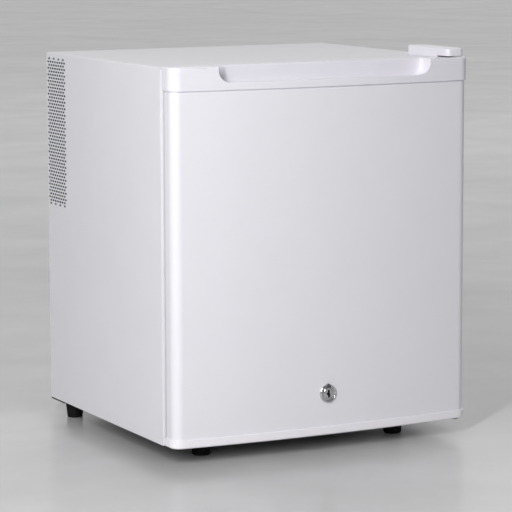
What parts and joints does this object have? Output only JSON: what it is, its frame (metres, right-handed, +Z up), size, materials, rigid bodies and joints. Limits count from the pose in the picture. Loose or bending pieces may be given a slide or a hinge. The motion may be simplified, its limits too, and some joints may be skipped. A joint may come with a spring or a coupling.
{
  "type": "minibar fridge",
  "caption": "Small white minibar fridge with a bowed door, long grip recess, cam lock, side vents and black feet; door, lock, bins, fans, knob and feet move.",
  "frame": {"origin": "centre of the bounding box's underside, on the floor under the feet", "axes": "+X to the fridge's right as seen from the front, +Y to its rear, +Z up"},
  "size_m": [0.4, 0.3782, 0.4753],
  "materials": {
    "case_white": "white powder coat, slightly textured satin",
    "door_white": "white powder coat, satin",
    "base_grey": "dark grey primer, matte",
    "cover_black": "black powder coat, matte",
    "zinc_steel": "zinc-plated steel",
    "moulded_white": "white moulded plastic, semi-gloss",
    "liner_white": "white vacuum-formed plastic, gloss",
    "bin_white": "frosted white plastic",
    "foam_cream": "rigid polyurethane foam",
    "wire_white": "white plastic-coated wire",
    "bare_aluminium": "extruded, unpolished",
    "fan_black": "black moulded plastic",
    "module_white": "ceramic plates, sealed edge",
    "supply_steel": "plain plated sheet",
    "circuit_green": "solder-masked board",
    "lens_frosted": "frosted clear plastic",
    "seal_grey": "soft magnetic seal",
    "foot_black": "black moulded rubber",
    "nylon_white": "plain nylon",
    "lock_chrome": "polished chrome plate"
  },
  "bodies": {
    "cabinet": {"left_side_panel": "case_white", "right_side_panel": "case_white", "left_vent_grille": "case_white", "right_vent_grille": "case_white", "top_panel": "case_white", "base_plate": "base_grey", "back_panel": "zinc_steel", "rear_cover": "cover_black", "rear_cover_screws": "zinc_steel", "insulation_foam": "foam_cream", "inner_liner": "liner_white", "lock_strike": "zinc_steel", "strike_screws": "zinc_steel", "upper_shelf": "wire_white", "lower_shelf": "wire_white", "thermostat_housing": "liner_white", "light_board": "circuit_green", "light_lens": "lens_frosted", "cold_fan_cover": "liner_white", "cold_fan_frame": "fan_black", "cold_sink": "bare_aluminium", "cold_block": "bare_aluminium", "peltier_module": "module_white", "hot_sink": "bare_aluminium", "hot_sink_screws": "zinc_steel", "hot_fan_frame": "fan_black", "hot_fan_screws": "zinc_steel", "power_supply_case": "supply_steel", "control_board": "circuit_green", "power_inlet": "fan_black", "foot_nuts": "zinc_steel", "rear_left_foot": "foot_black", "rear_right_foot": "foot_black", "rear_foot_screws": "zinc_steel", "top_hinge_bracket": "zinc_steel", "top_hinge_cover": "moulded_white", "top_hinge_screws": "zinc_steel", "bottom_hinge_bracket": "cover_black", "bottom_hinge_screws": "zinc_steel"},
    "door": {"door_skin": "door_white", "door_top_cap": "moulded_white", "door_bottom_cap": "moulded_white", "door_foam": "foam_cream", "door_liner": "liner_white", "door_gasket": "seal_grey", "top_hinge_bush": "nylon_white", "bottom_hinge_bush": "nylon_white", "lock_body": "lock_chrome", "lock_nut": "zinc_steel"},
    "lock_core": {"lock_plug": "lock_chrome", "lock_cam": "zinc_steel", "cam_screw": "zinc_steel"},
    "upper_bin": {"door_bin_upper": "bin_white"},
    "lower_bin": {"door_bin_lower": "bin_white"},
    "hot_rotor": {"hot_fan_rotor": "fan_black"},
    "cold_rotor": {"cold_fan_rotor": "fan_black"},
    "knob": {"temperature_knob": "liner_white"},
    "left_leveller": {"front_left_foot": "foot_black"},
    "right_leveller": {"front_right_foot": "foot_black"}
  },
  "joints": [
    {"name": "door_hinge", "type": "hinge", "parent": "cabinet", "child": "door", "pos_m": [0.19, -0.16575, 0.2425], "axis": [0, 0, 1], "range_deg": [0, 110]},
    {"name": "lock_turn", "type": "hinge", "parent": "door", "child": "lock_core", "pos_m": [0, -0.165, 0.071], "axis": [0, 1, 0], "range_deg": [0, 90]},
    {"name": "upper_bin_lift", "type": "slide", "parent": "door", "child": "upper_bin", "axis": [0, 0, 1], "range_m": [0, 0.02]},
    {"name": "lower_bin_lift", "type": "slide", "parent": "door", "child": "lower_bin", "axis": [0, 0, 1], "range_m": [0, 0.02]},
    {"name": "hot_fan_spin", "type": "hinge", "parent": "cabinet", "child": "hot_rotor", "pos_m": [0, 0.169, 0.356], "axis": [0, 1, 0], "continuous": true},
    {"name": "cold_fan_spin", "type": "hinge", "parent": "cabinet", "child": "cold_rotor", "pos_m": [0, 0.06, 0.356], "axis": [0, 1, 0], "continuous": true},
    {"name": "temperature_turn", "type": "hinge", "parent": "cabinet", "child": "knob", "pos_m": [0.1327, -0.04075, 0.383], "axis": [1, 0, 0], "range_deg": [0, 270]},
    {"name": "left_foot_screw", "type": "slide", "parent": "cabinet", "child": "left_leveller", "axis": [0, 0, -1], "range_m": [0, 0.008]},
    {"name": "right_foot_screw", "type": "slide", "parent": "cabinet", "child": "right_leveller", "axis": [0, 0, -1], "range_m": [0, 0.008]}
  ]
}
